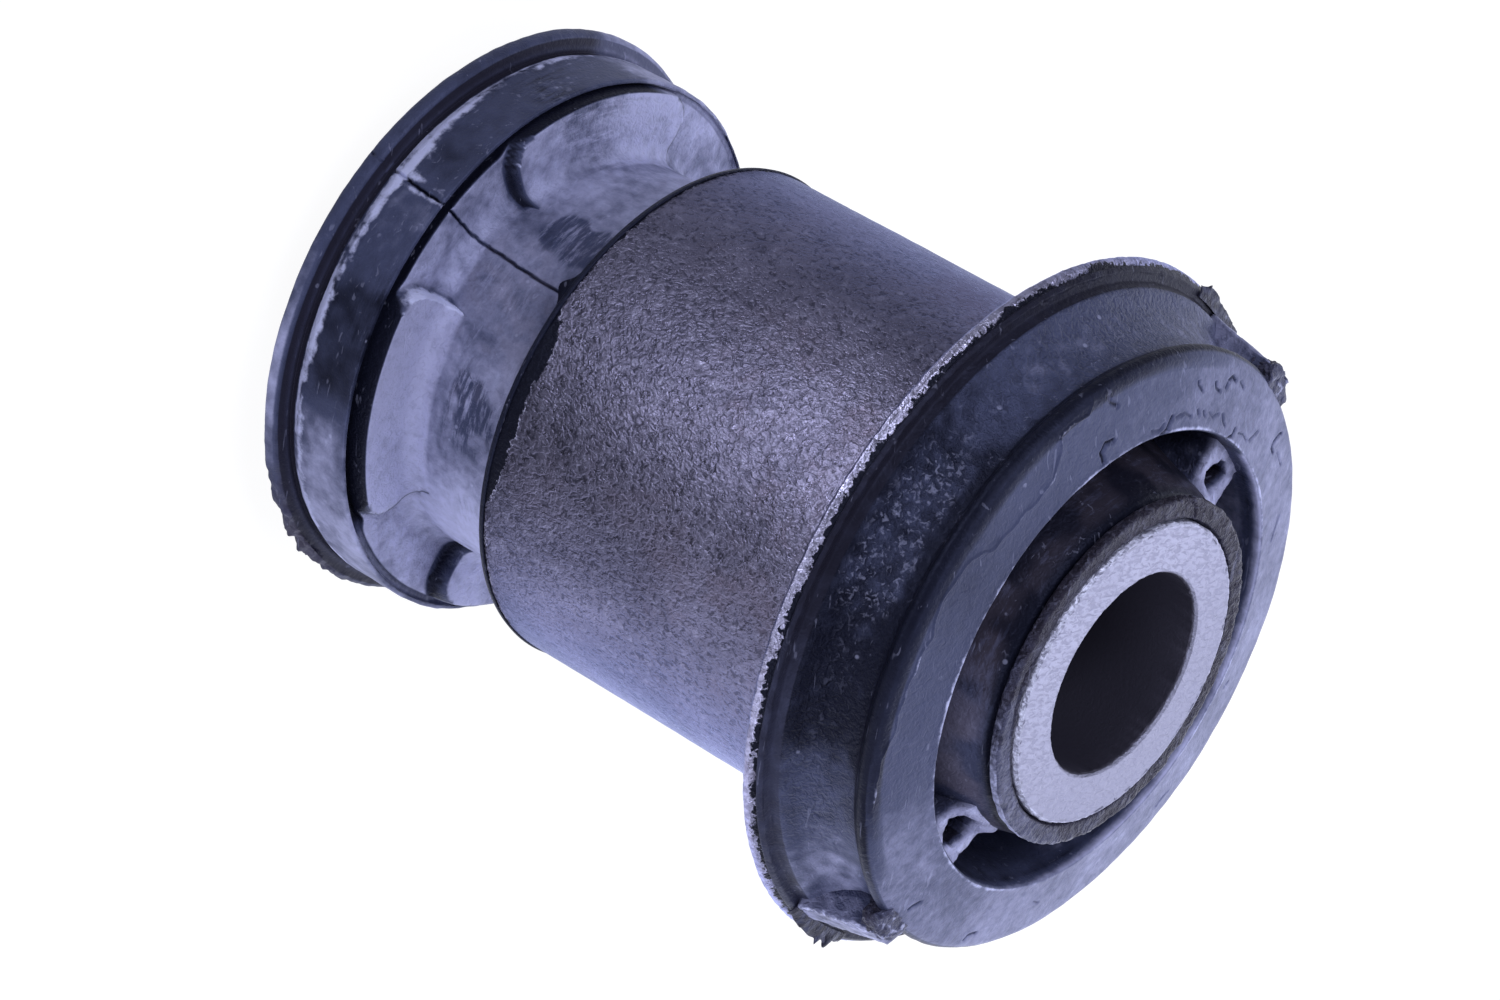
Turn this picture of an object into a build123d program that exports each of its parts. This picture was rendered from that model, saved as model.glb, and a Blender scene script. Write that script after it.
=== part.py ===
"""Flanged rubber metal bush: inner sleeve, moulded rubber body and flanged outer sleeve.

Millimetres. +Z runs along the bore towards the flanged front end, and the origin is
the centre of the inner sleeve's rear end, on which the bush stands. The two ribs over
the collar and the two bridges in the front recess lie on X, and the mould's parting
line crosses the rear neck on Y.
"""

import os

from build123d import *

# Overall sizes
bush_length = 60.0
bore_radius = 7.0
outer_sleeve_radius = 17.8

# Inner sleeve, a thick tube sawn to length
inner_wall = 3.6
bore_chamfer = 0.35
inner_edge_chamfer = 0.25

# Outer sleeve, a tube whose front end is turned out into a flange
outer_wall = 1.6
outer_sleeve_length = 30.0
flange_setback = 9.5
flange_width = 6.4
flange_thickness = 1.2
flange_bevel = 1.7
flange_root_chamfer = 0.6
flange_rim_bevel = 0.55
flange_rim_chamfer = 0.25
sleeve_end_chamfer = 0.35

# Front hub, a skin of rubber round the inner sleeve that flares down into the recess
hub_skin = 1.5
hub_setback = 0.15
hub_collar = 0.7
hub_groove_width = 0.5
hub_groove_depth = 0.35
hub_flare = 2.1
recess_depth = 8.5
recess_floor_width = 1.2
recess_chamfer = 0.4

# Front ring, the bump stop that stands round the recess
ring_width = 4.9
ring_setback = 1.9
ring_face_drop = 1.1
ring_edge_fillet = 0.9
ring_side = 1.0
ring_undercut = 0.6
recess_wall_draft = 0.6

# Collar, the concave skirt between the ring and the flange's rim
collar_rim_margin = 1.1
collar_step = 0.7
collar_hollow_radius = 4.8

# Ribs over the collar and bridges across the recess, on the mould's X line
rib_width = 2.6
rib_stand = 0.7
rib_rim_margin = 0.35
rib_shoulder_stand = 0.35
rib_top_drop = 0.45
bridge_width = 4.0
bridge_setback = 3.3
bridge_root = 1.2

# Rear neck and the skin of rubber over the outer sleeve's rear end
neck_radius = 14.5
skin_thickness = 0.5
skin_margin = 0.3

# Rear head: band, pads that stand on its front face, and the lip at the very rear
head_setback = 2.9
head_front = 9.8
band_radius = 19.6
band_rear = 5.4
band_gap_width = 0.4
band_gap_depth = 0.7
band_wall = 0.3
pad_height = 1.35
pad_count = 4
pad_gap_angle = 34.0
pad_corner_fillet = 1.3
neck_fillet = 1.1
lip_radius = 20.7
lip_height = 1.5
lip_groove_depth = 0.6
lip_groove_width = 0.5
lip_edge_chamfer = 0.4
rear_dish_depth = 0.8
rear_dish_margin = 3.0

# Worked out from the sizes above
inner_sleeve_radius = bore_radius + inner_wall
outer_bore_radius = outer_sleeve_radius - outer_wall
flange_front = bush_length - flange_setback
flange_rear = flange_front - flange_thickness
flange_radius = outer_sleeve_radius + flange_width
outer_sleeve_rear = flange_front - outer_sleeve_length
hub_radius = inner_sleeve_radius + hub_skin
hub_front = bush_length - hub_setback
groove_top = hub_front - hub_collar
groove_foot = groove_top - hub_groove_width
hub_foot_radius = hub_radius + hub_flare
recess_floor = bush_length - recess_depth
recess_foot_radius = hub_foot_radius + recess_floor_width
ring_inner_radius = recess_foot_radius + recess_wall_draft
ring_inner_edge = bush_length - ring_setback
ring_outer_radius = ring_inner_radius + ring_width
ring_outer_edge = ring_inner_edge - ring_face_drop
ring_foot = ring_outer_edge - ring_side
collar_top = ring_foot - ring_undercut
collar_top_radius = ring_outer_radius - ring_undercut
collar_rim_radius = flange_radius - collar_rim_margin
bridge_length = ring_inner_radius + bridge_root - hub_radius
skin_radius = outer_sleeve_radius - skin_margin
skin_rear = outer_sleeve_rear - skin_thickness
band_inner_radius = band_radius - band_wall
head_face_radius = band_inner_radius - band_gap_width
gap_middle_radius = head_face_radius + band_gap_width / 2
band_gap_floor = head_front - band_gap_depth
lip_front = head_setback + lip_height
lip_groove_radius = band_radius - lip_groove_depth
pad_top = head_front + pad_height
pad_pitch = 360 / pad_count
pad_half_angle = (pad_pitch - pad_gap_angle) / 2
dish_floor = head_setback + rear_dish_depth

os.makedirs("parts", exist_ok=True)


# Inner sleeve
with BuildPart() as inner_sleeve:
    Cylinder(inner_sleeve_radius, bush_length, align=(Align.CENTER, Align.CENTER, Align.MIN))
    Cylinder(
        bore_radius, bush_length, align=(Align.CENTER, Align.CENTER, Align.MIN), mode=Mode.SUBTRACT
    )
    rims = inner_sleeve.edges().filter_by(GeomType.CIRCLE).sort_by(SortBy.RADIUS)
    chamfer(rims[:2], bore_chamfer)
    rims = inner_sleeve.edges().filter_by(GeomType.CIRCLE).sort_by(SortBy.RADIUS)
    chamfer(rims[-2:], inner_edge_chamfer)
inner_sleeve.part.label = "inner_sleeve"
export_step(inner_sleeve.part, "parts/inner_sleeve.step")


# Outer sleeve: one revolved section, with the bevel that the rubber flows over
with BuildPart() as outer_sleeve:
    with BuildSketch(Plane.XZ) as sleeve_section:
        with BuildLine():
            Polyline(
                (outer_bore_radius, outer_sleeve_rear),
                (outer_sleeve_radius, outer_sleeve_rear),
                (outer_sleeve_radius, flange_rear),
                (flange_radius, flange_rear),
                (flange_radius, flange_front),
                (outer_bore_radius, flange_front),
                close=True,
            )
        make_face()
        corners = sleeve_section.vertices()
        chamfer(corners.sort_by_distance((outer_bore_radius, flange_front))[0], flange_bevel)
        chamfer(corners.sort_by_distance((outer_sleeve_radius, flange_rear))[0], flange_root_chamfer)
        chamfer(corners.sort_by_distance((flange_radius, flange_rear))[0], flange_rim_chamfer)
        chamfer(corners.sort_by_distance((flange_radius, flange_front))[0], flange_rim_bevel)
        chamfer(corners.sort_by_distance((outer_sleeve_radius, outer_sleeve_rear))[0], sleeve_end_chamfer)
    revolve(axis=Axis.Z)
outer_sleeve.part.label = "outer_sleeve"
export_step(outer_sleeve.part, "parts/outer_sleeve.step")


# Rubber body: the section is revolved once, then the pads, ribs and bridges join it.
# The section plane passes through a pad, so the revolve's seam runs under that pad.
section_plane = Plane(
    origin=(0, 0, 0),
    x_dir=Vector(1, 0, 0).rotate(Axis.Z, pad_pitch / 2),
    z_dir=Vector(0, -1, 0).rotate(Axis.Z, pad_pitch / 2),
)
with BuildPart() as rubber_body:
    with BuildSketch(section_plane) as body_section:
        with BuildLine():
            Polyline(
                (outer_bore_radius, flange_front - flange_bevel),
                (outer_bore_radius, outer_sleeve_rear),
                (skin_radius, outer_sleeve_rear),
                (skin_radius, skin_rear),
                (neck_radius, skin_rear),
                (neck_radius, pad_top),
                (head_face_radius, pad_top),
                (head_face_radius, band_gap_floor),
                (band_inner_radius, band_gap_floor),
                (band_inner_radius, head_front),
                (band_radius, head_front),
                (band_radius, band_rear),
                (lip_groove_radius, band_rear - lip_groove_width),
                (lip_groove_radius, lip_front),
                (lip_radius, lip_front),
                (lip_radius, head_setback),
                (lip_radius - rear_dish_margin, head_setback),
                (hub_radius, dish_floor),
                (inner_sleeve_radius, dish_floor),
                (inner_sleeve_radius, hub_front),
                (hub_radius, hub_front),
                (hub_radius, groove_top),
                (hub_radius - hub_groove_depth, groove_top - hub_groove_width / 2),
                (hub_radius, groove_foot),
                (hub_foot_radius, recess_floor),
                (recess_foot_radius, recess_floor),
                (ring_inner_radius, ring_inner_edge),
                (ring_outer_radius, ring_outer_edge),
                (ring_outer_radius, ring_foot),
                (collar_top_radius, collar_top),
            )
            RadiusArc(
                (collar_top_radius, collar_top),
                (collar_rim_radius, flange_front + collar_step),
                -collar_hollow_radius,
            )
            Polyline(
                (collar_rim_radius, flange_front + collar_step),
                (collar_rim_radius, flange_front),
                (outer_bore_radius + flange_bevel, flange_front),
                (outer_bore_radius, flange_front - flange_bevel),
            )
        make_face()
        corners = body_section.vertices()
        fillet(corners.sort_by_distance((ring_outer_radius, ring_outer_edge))[0], ring_edge_fillet)
        chamfer(corners.sort_by_distance((lip_radius, lip_front))[0], lip_edge_chamfer)
        chamfer(corners.sort_by_distance((lip_radius, head_setback))[0], lip_edge_chamfer)
        chamfer(corners.sort_by_distance((hub_foot_radius, recess_floor))[0], recess_chamfer)
        chamfer(corners.sort_by_distance((recess_foot_radius, recess_floor))[0], recess_chamfer)
    revolve(axis=Axis.Z)

    # The head's front face is cut down between the pads
    with BuildSketch(Plane.XY.offset(head_front), mode=Mode.PRIVATE) as pad:
        with BuildLine():
            start = Vector(head_face_radius, 0).rotate(Axis.Z, -pad_half_angle)
            end = Vector(head_face_radius, 0).rotate(Axis.Z, pad_half_angle)
            Line((0, 0), start)
            RadiusArc(start, end, -head_face_radius)
            Line(end, (0, 0))
        make_face()
        fillet(pad.vertices().sort_by(Axis.X)[1:], pad_corner_fillet)
    with BuildSketch(Plane.XY.offset(head_front)):
        Circle(gap_middle_radius)
        with PolarLocations(0, pad_count, start_angle=pad_pitch / 2):
            add(pad.sketch_local, mode=Mode.SUBTRACT)
        Circle(neck_radius, mode=Mode.SUBTRACT)
    extrude(amount=pad_height, mode=Mode.SUBTRACT)
    gap_edges = rubber_body.edges(Select.LAST).filter_by(GeomType.CIRCLE).group_by(Axis.Z)[-2]
    fillet(gap_edges.group_by(SortBy.RADIUS)[-2], neck_fillet)

    # Ribs over the collar, as one outline and its mirror image
    with BuildSketch(Plane.XZ):
        with BuildLine():
            Polyline(
                (ring_outer_radius - ring_edge_fillet, flange_front),
                (collar_rim_radius - rib_rim_margin, flange_front),
                (ring_outer_radius + rib_stand, ring_foot),
                (ring_outer_radius + rib_shoulder_stand, ring_outer_edge - rib_top_drop),
                (ring_outer_radius - ring_edge_fillet, ring_outer_edge - rib_top_drop),
                close=True,
            )
        make_face()
        mirror(about=Plane.YZ)
    extrude(amount=rib_width / 2, both=True)

    # Bridges from the hub across the recess into the ring
    with BuildSketch(Plane.XY.offset(recess_floor)):
        with Locations((hub_radius, 0), (-hub_radius - bridge_length, 0)):
            Rectangle(bridge_length, bridge_width, align=(Align.MIN, Align.CENTER))
    extrude(amount=recess_depth - bridge_setback)
rubber_body.part.label = "rubber_body"
export_step(rubber_body.part, "parts/rubber_body.step")
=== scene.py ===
import math

import bmesh
import bpy
from mathutils import Matrix, Quaternion, Vector, kdtree, noise


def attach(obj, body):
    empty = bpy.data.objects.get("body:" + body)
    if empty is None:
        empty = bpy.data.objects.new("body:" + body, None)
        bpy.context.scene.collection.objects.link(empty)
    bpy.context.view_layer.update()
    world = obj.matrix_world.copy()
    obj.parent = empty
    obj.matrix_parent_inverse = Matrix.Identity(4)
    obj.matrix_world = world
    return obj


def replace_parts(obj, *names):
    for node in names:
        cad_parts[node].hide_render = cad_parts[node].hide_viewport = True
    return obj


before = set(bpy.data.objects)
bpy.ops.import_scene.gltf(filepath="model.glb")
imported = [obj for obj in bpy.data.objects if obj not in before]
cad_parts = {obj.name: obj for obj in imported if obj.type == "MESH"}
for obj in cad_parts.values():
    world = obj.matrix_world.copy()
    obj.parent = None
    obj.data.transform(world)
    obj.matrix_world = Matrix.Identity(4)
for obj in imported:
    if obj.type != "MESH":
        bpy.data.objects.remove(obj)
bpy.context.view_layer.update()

mm = 0.001
print("frame loaded:", ", ".join(sorted(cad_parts)))


# Places round the bore, in millimetres and degrees

def around(radius, angle, height):
    turned = math.radians(angle)
    return Vector((radius * math.cos(turned), radius * math.sin(turned), height))


def polar(place):
    return math.hypot(place.x, place.y), math.degrees(math.atan2(place.y, place.x)), place.z


def apart(angle, other):
    return (angle - other + 180) % 360 - 180


def ease(low, high, value):
    share = min(1.0, max(0.0, (value - low) / (high - low)))
    return share * share * (3 - 2 * share)


def hump(value, centre, width):
    return math.exp(-((value - centre) / width) ** 2)


def rough(place, grain, seed=0.0):
    return noise.noise(place / grain + Vector((seed, seed * 1.7, seed * 0.6)))


def addObject(name, data):
    item = bpy.data.objects.new(name, data)
    bpy.context.scene.collection.objects.link(item)
    return item


def finishPiece(name, bm, material):
    bmesh.ops.recalc_face_normals(bm, faces=bm.faces)
    bmesh.ops.scale(bm, vec=(mm, mm, mm), verts=bm.verts)
    for face in bm.faces:
        face.smooth = True
    mesh = bpy.data.meshes.new(name)
    bm.to_mesh(mesh)
    bm.free()
    mesh.materials.append(material)
    piece = addObject(name, mesh)
    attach(piece, "root")
    print("piece", name, len(mesh.polygons), "faces")
    return piece


# Camera at the photograph's angle

view = dict(
    place=(74.846, -303.959, 223.205),
    target=(5.338, -12.821, 37.972),
    roll=119.881,
    lens=134.4,
    sensor=36.0,
)


def placeCamera(view):
    data = bpy.data.cameras.new("photoCamera")
    camera = addObject("photoCamera", data)
    place = Vector(view["place"])
    back = place - Vector(view["target"])
    turn = back.to_track_quat("Z", "Y") @ Quaternion((0, 0, 1), math.radians(view["roll"]))
    camera.location = place * mm
    camera.rotation_mode = "QUATERNION"
    camera.rotation_quaternion = turn
    data.lens = view["lens"]
    data.sensor_width = view["sensor"]
    data.clip_start = 0.01
    data.clip_end = 20
    bpy.context.scene.camera = camera


# Node helpers. A Wire is one output of a node, so that sums in a shader read as plain ones

class Wire:
    def __init__(self, tree, socket):
        self.tree = tree
        self.socket = socket

    def calc(self, operation, *values):
        return wire(self.tree, "Math", dict(enumerate(values)), operation=operation)

    def __add__(self, other):
        return self.calc("ADD", self, other)

    def __sub__(self, other):
        return self.calc("SUBTRACT", self, other)

    def __rsub__(self, other):
        return self.calc("SUBTRACT", other, self)

    def __mul__(self, other):
        return self.calc("MULTIPLY", self, other)

    def most(self, other):
        return self.calc("MAXIMUM", self, other)

    def least(self, other):
        return self.calc("MINIMUM", self, other)

    def size(self):
        return self.calc("ABSOLUTE", self)

    def clamped(self):
        self.socket.node.use_clamp = True
        return self


def plugIn(tree, node, inputs):
    for key, value in inputs.items():
        if isinstance(value, Wire):
            tree.links.new(value.socket, node.inputs[key])
        else:
            node.inputs[key].default_value = value


def make(tree, kind, inputs=None, **settings):
    node = tree.nodes.new("ShaderNode" + kind)
    for name, value in settings.items():
        setattr(node, name, value)
    plugIn(tree, node, inputs or {})
    return node


def wire(tree, kind, inputs=None, output=0, **settings):
    return Wire(tree, make(tree, kind, inputs, **settings).outputs[output])


def wiresOf(tree, node):
    return {socket.name: Wire(tree, socket) for socket in node.outputs}


def fade(value, low, high, start=0.0, end=1.0):
    sockets = {"Value": value, "From Min": low, "From Max": high, "To Min": start, "To Max": end}
    return wire(value.tree, "MapRange", sockets, "Result", interpolation_type="SMOOTHSTEP")


def mixColour(share, first, second):
    return wire(share.tree, "Mix", {0: share, 6: first, 7: second}, 2, data_type="RGBA")


def speckle(vector, scale, detail=3.0, roughness=0.55, distortion=0.0):
    sockets = dict(Vector=vector, Scale=scale, Detail=detail, Roughness=roughness, Distortion=distortion)
    return wire(vector.tree, "TexNoise", sockets, "Fac")


def stretched(vector, factors):
    return wire(vector.tree, "VectorMath", {0: vector, 1: factors}, operation="MULTIPLY")


def turnedBy(vector, angle):
    return wire(vector.tree, "VectorRotate", {"Vector": vector, "Angle": angle}, rotation_type="Z_AXIS")


def measured(operation, vector, other=(0, 0, 0)):
    return wire(vector.tree, "VectorMath", {0: vector, 1: other}, "Value", operation=operation)


def bumped(height, distance):
    return wire(height.tree, "Bump", {"Strength": 1.0, "Distance": distance, "Height": height})


def newGroup(name, inputs, outputs):
    group = bpy.data.node_groups.new(name, "ShaderNodeTree")
    group.interface.new_socket("Vector", in_out="INPUT", socket_type="NodeSocketVector")
    for label, value in inputs.items():
        socket = group.interface.new_socket(label, in_out="INPUT", socket_type="NodeSocketFloat")
        socket.default_value = value
    for label, kind in outputs.items():
        group.interface.new_socket(label, in_out="OUTPUT", socket_type="NodeSocket" + kind)
    start = wiresOf(group, group.nodes.new("NodeGroupInput"))
    return group, start, group.nodes.new("NodeGroupOutput")


def useGroup(group, vector, **inputs):
    node = make(vector.tree, "Group", {"Vector": vector, **inputs}, node_tree=group)
    return wiresOf(vector.tree, node)


# Effects that several materials share

def coordinatesGroup(rollRadius=0.018):
    group, start, end = newGroup("borePlace", {}, dict(Radius="Float", Height="Float", Around="Vector"))
    axes = wiresOf(group, make(group, "SeparateXYZ", {0: start["Vector"]}))
    flat = wire(group, "CombineXYZ", {0: axes["X"], 1: axes["Y"]})
    radius = measured("LENGTH", flat)
    turned = axes["Y"].calc("ARCTAN2", axes["Y"], axes["X"]) * rollRadius
    rolled = wire(group, "CombineXYZ", {0: turned, 1: axes["Z"], 2: radius})
    plugIn(group, end, {"Radius": radius * 1000.0, "Height": axes["Z"] * 1000.0, "Around": rolled})
    return group


def patchGroup():
    numbers = dict(Scale=300.0, Cover=0.5, Softness=0.1)
    group, start, end = newGroup("dustPatches", numbers, dict(Mask="Float"))
    wide = speckle(start["Vector"], start["Scale"], 8.0, 0.74, 0.3)
    edge = 1.0 - start["Cover"]
    mask = fade(wide, edge - start["Softness"], edge + start["Softness"])
    plugIn(group, end, {"Mask": mask})
    return group


def grainGroup():
    numbers = dict(Scale=2000.0, Stretch=1.0)
    group, start, end = newGroup("fineGrain", numbers, dict(Height="Float", Pits="Float"))
    factors = wire(group, "CombineXYZ", {0: 1.0, 1: 1.0, 2: start["Stretch"]})
    place = stretched(start["Vector"], factors)
    base = speckle(place, start["Scale"], 1.5, 0.5, 0.9)
    finer = speckle(place, start["Scale"] * 2.6, 2.0, 0.5, 0.8)
    both = base * 0.72 + finer * 0.28
    plugIn(group, end, {"Height": fade(both, 0.28, 0.72), "Pits": fade(both, 0.38, 0.47, 1.0, 0.0)})
    return group


def scratchGroup():
    numbers = dict(Scale=400.0, Turn=0.6, Cover=0.5)
    group, start, end = newGroup("fineScratches", numbers, dict(Mask="Float"))
    thin = stretched(turnedBy(start["Vector"], start["Turn"]), (1.0, 0.06, 1.0))
    lines = speckle(thin, start["Scale"] * 3.0, 1.0, 0.4, 1.2)
    lone = speckle(start["Vector"], start["Scale"], 2.0, 0.5, 0.0)
    edge = 0.8 - start["Cover"] * 0.2
    mask = fade(lines, edge, edge + 0.04) * fade(lone, 0.48, 0.58)
    plugIn(group, end, {"Mask": mask})
    return group


placeGroup = coordinatesGroup()
patches = patchGroup()
grain = grainGroup()
scratches = scratchGroup()
print("shared effects built")


# Finishes

rubberMasks = ("tone", "warm", "grainDepth", "worn", "scuff")


def newMaterial(name, look):
    material = bpy.data.materials.new(name)
    material.use_nodes = True
    tree = material.node_tree
    place = wire(tree, "TexCoord", output="Object")
    cloud = speckle(place, *look["cloud"])
    return material, tree.nodes["Principled BSDF"], place, useGroup(placeGroup, place), cloud


def readMask(tree, name):
    return wire(tree, "Attribute", output="Fac", attribute_name=name)


rubberLook = dict(
    deep=(0.005, 0.0056, 0.0125, 1.0),
    bluish=(0.05, 0.058, 0.112, 1.0),
    dusty=(0.46, 0.47, 0.69, 1.0),
    brown=(0.115, 0.096, 0.125, 1.0),
    pale=(0.6, 0.62, 0.88, 1.0),
    sheen=(0.58, 0.63, 1.0, 1.0),
    cloud=(210.0, 6.0, 0.62, 0.4),   # noise: scale, detail, roughness, distortion
    fine=(1500.0, 4.0, 0.6, 0.3),
    rub=dict(Scale=2400.0, Cover=0.52, Softness=0.1),
    rubStretch=(0.16, 1.0, 1.0),
    grainScale=2500.0,
    gritScale=620.0,
    scratch=dict(Scale=760.0, Turn=0.7, Cover=0.7),
    relief=0.00015,
)


def rubberMaterial(look):
    material, shader, place, spots, cloud = newMaterial("mouldedRubber", look)
    tone, warm, depth, worn, scuff = [readMask(place.tree, name) for name in rubberMasks]
    fine = speckle(place, *look["fine"])
    shift = (cloud - 0.5) * 0.42 + (fine - 0.5) * 0.32
    rubbed = useGroup(patches, stretched(spots["Around"], look["rubStretch"]), **look["rub"])["Mask"]
    rubbed = rubbed * fade(scuff + (cloud - 0.5), 0.25, 0.75)
    level = (tone + shift * (tone + 0.15) - rubbed * 0.31).clamped()
    dark = mixColour(fade(level, 0.0, 0.5), look["deep"], look["bluish"])
    colour = mixColour(fade(level, 0.45, 1.0), dark, look["dusty"])
    colour = mixColour(warm * 0.8, colour, look["brown"])
    grains = useGroup(grain, place, Scale=look["grainScale"])
    colour = mixColour(depth * grains["Pits"] * 0.55, colour, look["deep"])
    # Painted highlight: the tops of the grain are mixed towards the pale colour as glints
    grainGlint = fade(grains["Height"], 0.62, 0.95) * fade(depth, 0.42, 1.0)
    colour = mixColour(grainGlint * 0.2, colour, look["pale"])
    marks = useGroup(scratches, place, **look["scratch"])["Mask"]
    specks = wire(place.tree, "TexVoronoi", dict(Vector=place, Scale=look["gritScale"]), "Distance")
    grit = fade(specks, 0.07, 0.13, 1.0, 0.0) * fade(cloud, 0.5, 0.62)
    # Lighter where this mask says: real wear and dust, and also painted highlights on ridges, crack lips, pad
    # edges and film wrinkles
    broken = fade(worn + (fine - 0.5) * 0.9, 0.22, 0.62) * fade(worn, 0.02, 0.3)
    light = (marks * 0.12).most(grit * 0.3).most(broken * 0.85).clamped()
    height = grains["Height"] * (depth + 0.12) + fine * 0.1 - marks * 0.1
    plugIn(place.tree, shader, {
        "Base Color": mixColour(light, colour, look["pale"]),
        "Roughness": fade(level, 0.0, 0.6, 0.46, 0.56) - depth * 0.2,
        "Specular IOR Level": fade(level, 0.0, 0.4, 0.15, 0.44),
        "Specular Tint": look["sheen"],
        "Normal": bumped(height, look["relief"]),
    })
    return material


sleeveLook = dict(
    colour=(0.195, 0.185, 0.262, 1.0),
    darker=(0.108, 0.103, 0.15, 1.0),
    lighter=(0.44, 0.43, 0.58, 1.0),
    warmer=(0.13, 0.108, 0.146, 1.0),
    film=(0.008, 0.0085, 0.016, 1.0),
    edge=(0.66, 0.72, 1.0, 1.0),
    cloud=(90.0, 6.0, 0.6, 0.6),
    fine=(1400.0, 4.0, 0.62, 0.2),
    chips=(1300.0, 4.0, 0.7),
    teeth=(2600.0, 3.0, 0.6, 0.4),
    lobes=(420.0, 3.0, 0.5, 0.0),
    grains=dict(Scale=2900.0, Stretch=0.8),
    stain=dict(Scale=95.0, Cover=0.44, Softness=0.1),
    scratch=dict(Scale=520.0, Turn=0.4, Cover=0.3),
    rimWear=(23.7, 24.05),
    filmFront=50.03,
    metal=0.93,
    relief=0.000045,
)


def coatedSteelMaterial(look):
    material, shader, place, spots, cloud = newMaterial("phosphatedSteel", look)
    fine = speckle(place, *look["fine"])
    grains = useGroup(grain, place, **look["grains"])
    colour = mixColour(fade(cloud, 0.3, 0.7), look["darker"], look["colour"])
    colour = mixColour(fade(fine, 0.5, 0.75) * 0.3, colour, look["lighter"])
    colour = mixColour(grains["Pits"] * 0.55, colour, look["film"])
    stained = useGroup(patches, place, **look["stain"])["Mask"]
    stained = stained * fade(spots["Height"], 22.0, 40.0, 0.2, 0.75)
    colour = mixColour(stained, colour, look["warmer"])
    marks = useGroup(scratches, place, **look["scratch"])["Mask"]
    chips = fade(speckle(place, *look["chips"]), 0.35, 0.6, 0.25, 0.85)
    rimWear = fade(spots["Radius"], *look["rimWear"]) * chips
    colour = mixColour((marks * 0.3).most(rimWear).clamped(), colour, look["lighter"])
    # a thin film of rubber runs out over the rim and over the rear edge, with ragged ends
    uneven = (speckle(place, *look["teeth"]) - 0.5) * 1.1 + (speckle(place, *look["lobes"]) - 0.5) * 1.3
    front = spots["Height"] - look["filmFront"] + uneven
    rear = readMask(place.tree, "filmReach") + uneven
    film = fade(front, 0.0, 0.05).most(fade(rear, 0.0, 0.05))
    # Pale flecks along the film's ragged ends: partly torn film, partly painted highlight on its wrinkles
    torn = fade(front.size().least(rear.size()), 0.02, 0.1, 1.0, 0.0) * fade(fine, 0.45, 0.6)
    colour = mixColour(film, colour, look["film"])
    plugIn(place.tree, shader, {
        "Base Color": mixColour(torn, colour, look["lighter"]),
        "Metallic": (1.0 - film) * look["metal"],
        "Roughness": fade(fine, 0.3, 0.7, 0.25, 0.36),
        "Specular IOR Level": fade(film, 0.0, 1.0, 0.5, 0.1),
        "Specular Tint": look["edge"],
        "Normal": bumped(grains["Height"] + fine * 0.25 + film * 0.8, look["relief"]),
    })
    return material


boreLook = dict(
    face=(0.385, 0.385, 0.5, 1.0),
    dullAndShaded=(0.28, 0.28, 0.375, 1.0),
    rim=(0.62, 0.63, 0.78, 1.0),
    bore=(0.066, 0.062, 0.09, 1.0),
    cloud=(260.0, 5.0, 0.6, 0.3),
    saw=(3600.0, 2.5, 0.5, 0.9),
    sawTurn=-0.53,
    sawStretch=(1.0, 0.4, 1.0),
    paintedShadeSide=(0.35, 0.93, 0.0),
    rimRadius=(10.3, 10.42),
    boreRadius=(7.04, 7.14),
    metal=0.65,
    roughness=0.5,
    relief=0.00013,
)


def bareSteelMaterial(look):
    material, shader, place, spots, cloud = newMaterial("sawnSteel", look)
    saw = speckle(stretched(turnedBy(place, look["sawTurn"]), look["sawStretch"]), *look["saw"])
    colour = mixColour(fade(saw, 0.4, 0.58), look["dullAndShaded"], look["face"])
    colour = mixColour(fade(cloud, 0.5, 0.8) * 0.35, colour, look["dullAndShaded"])
    # Painted shade: the face is darker on the side towards +Y
    sideways = measured("DOT_PRODUCT", place, look["paintedShadeSide"])
    colour = mixColour(fade(sideways, -0.009, 0.009, 0.0, 0.8), colour, look["dullAndShaded"])
    rim = fade(spots["Radius"], *look["rimRadius"])
    colour = mixColour(rim * fade(saw, 0.35, 0.6), colour, look["rim"])
    # Painted shade: the bore is coloured near black
    inside = fade(spots["Radius"], *look["boreRadius"], 1.0, 0.0)
    plugIn(place.tree, shader, {
        "Base Color": mixColour(inside, colour, look["bore"]),
        "Metallic": look["metal"],
        "Roughness": look["roughness"],
        "Normal": bumped(saw * (1.0 - inside * 0.8), look["relief"]),
    })
    return material


rubberSkin = rubberMaterial(rubberLook)
coatedSteel = coatedSteelMaterial(sleeveLook)
bareSteel = bareSteelMaterial(boreLook)
print("finishes built")


# Rubber moulding: one section turned round the bore, then shaped zone by zone

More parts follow.
